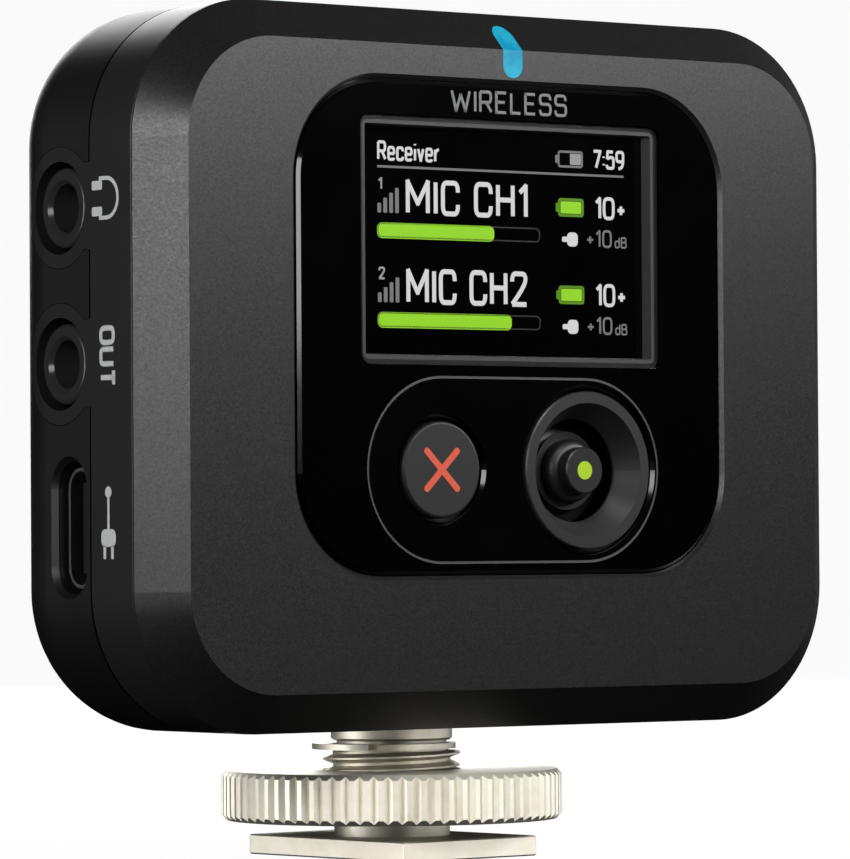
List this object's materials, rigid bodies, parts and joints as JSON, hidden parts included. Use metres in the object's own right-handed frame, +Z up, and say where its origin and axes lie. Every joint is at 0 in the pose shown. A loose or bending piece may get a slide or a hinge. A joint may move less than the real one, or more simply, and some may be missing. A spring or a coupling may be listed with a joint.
{
  "type": "wireless audio receiver",
  "caption": "Compact wireless audio receiver with a screen, cross button and joystick, jacks and data port on one side, on a shoe foot with a knurled lock nut.",
  "frame": {"origin": "centre of the shoe foot's underside, on the stem's axis", "axes": "+Z up, the screen faces -Y, +X to the right of someone who looks at the screen"},
  "size_m": [0.0658, 0.0292, 0.0645],
  "materials": {
    "grey_metallic": "fine-textured metallic grey paint, satin",
    "dark_plastic": "dark grey moulded plastic, smooth satin",
    "black_plastic": "black moulded plastic, satin",
    "black_gloss": "black gloss panel",
    "tape": "black adhesive tape",
    "trim_grey": "light grey satin",
    "window": "clear gloss",
    "bezel_grey": "grey satin",
    "lcd": "dark screen, semi gloss",
    "diffuser": "white diffuser",
    "steel": "bright",
    "ribbon": "amber film",
    "connector": "ivory plastic",
    "button_grey": "matte dark grey",
    "orange": "orange-red, semi gloss",
    "collar_grey": "matte mid grey",
    "green": "bright green, semi gloss",
    "cyan": "cyan, lit",
    "lamp": "clear lamp",
    "board_green": "green solder mask",
    "nickel": "nickel plate",
    "ceramic": "white ceramic",
    "cell": "silver pouch foil",
    "foam": "black foam",
    "nylon": "natural nylon",
    "brass": "turned brass"
  },
  "bodies": {
    "case": {"front_cover": "grey_metallic", "middle_frame": "dark_plastic", "rear_shell": "black_plastic", "fascia_panel": "black_gloss", "panel_tape": "tape", "control_island": "black_gloss", "island_trim": "trim_grey", "display_window": "window", "screen_bezel": "bezel_grey", "lcd_panel": "lcd", "lcd_backlight": "diffuser", "lcd_tray": "steel", "display_ribbon": "ribbon", "ribbon_connector": "connector", "x_switch_body": "black_plastic", "joystick_collar": "collar_grey", "joystick_switch_body": "black_plastic", "light_pipe": "cyan", "status_lamp": "lamp", "main_board": "board_green", "board_screws": "steel", "shield_can": "nickel", "chip_antenna": "ceramic", "battery_cell": "cell", "battery_foam": "foam", "battery_connector": "connector", "headphone_jack_barrel": "black_plastic", "headphone_jack_body": "black_plastic", "line_out_jack_barrel": "black_plastic", "line_out_jack_body": "black_plastic", "usb_shell": "steel", "usb_tongue": "black_plastic", "stem_bush": "brass"},
    "button": {"x_button_cap": "button_grey", "x_button_mark": "orange", "x_switch_plunger": "connector"},
    "tilt_ring": {"joystick_outer_ring": "steel"},
    "cross_ring": {"joystick_inner_ring": "steel"},
    "stick": {"joystick_stem": "steel", "joystick_cap": "button_grey", "joystick_light": "green", "joystick_shield": "black_plastic"},
    "shoe": {"foot_plate": "nickel", "shoe_stem": "nickel", "stem_clip": "nickel", "stem_washer": "nylon", "stem_ring": "steel"},
    "nut_carrier": {"nut_pad": "nylon"},
    "nut": {"lock_nut": "nickel"}
  },
  "joints": [
    {"name": "x_button_press", "type": "slide", "parent": "case", "child": "button", "axis": [0, 1, 0], "range_m": [0, 0.0003], "stiffness_N_per_m": 3000, "springref_m": -0.0001},
    {"name": "stick_tilt_up_down", "type": "hinge", "parent": "case", "child": "tilt_ring", "pos_m": [0.00703, -0.00865, 0.02973], "axis": [1, 0, 0], "range_deg": [-10, 10], "stiffness_Nm_per_rad": 0.03},
    {"name": "stick_tilt_left_right", "type": "hinge", "parent": "tilt_ring", "child": "cross_ring", "pos_m": [0.00703, -0.00865, 0.02973], "axis": [0, 0, 1], "range_deg": [-10, 10], "stiffness_Nm_per_rad": 0.03},
    {"name": "stick_press", "type": "slide", "parent": "cross_ring", "child": "stick", "axis": [0, 1, 0], "range_m": [0, 0.0003], "stiffness_N_per_m": 4000, "springref_m": -0.0001},
    {"name": "shoe_swivel", "type": "hinge", "parent": "case", "child": "shoe", "pos_m": [0, 0, 0], "axis": [0, 0, 1], "continuous": true},
    {"name": "nut_travel", "type": "slide", "parent": "shoe", "child": "nut_carrier", "axis": [0, 0, 1], "range_m": [-0.00124, 0.0015]},
    {"name": "nut_spin", "type": "hinge", "parent": "nut_carrier", "child": "nut", "pos_m": [0, 0, 0.00477], "axis": [0, 0, 1], "range_deg": [-472, 570]}
  ],
  "couplings": [
    {"joint": "nut_spin", "follows": "nut_travel", "rad_per_m": 6613.9}
  ]
}
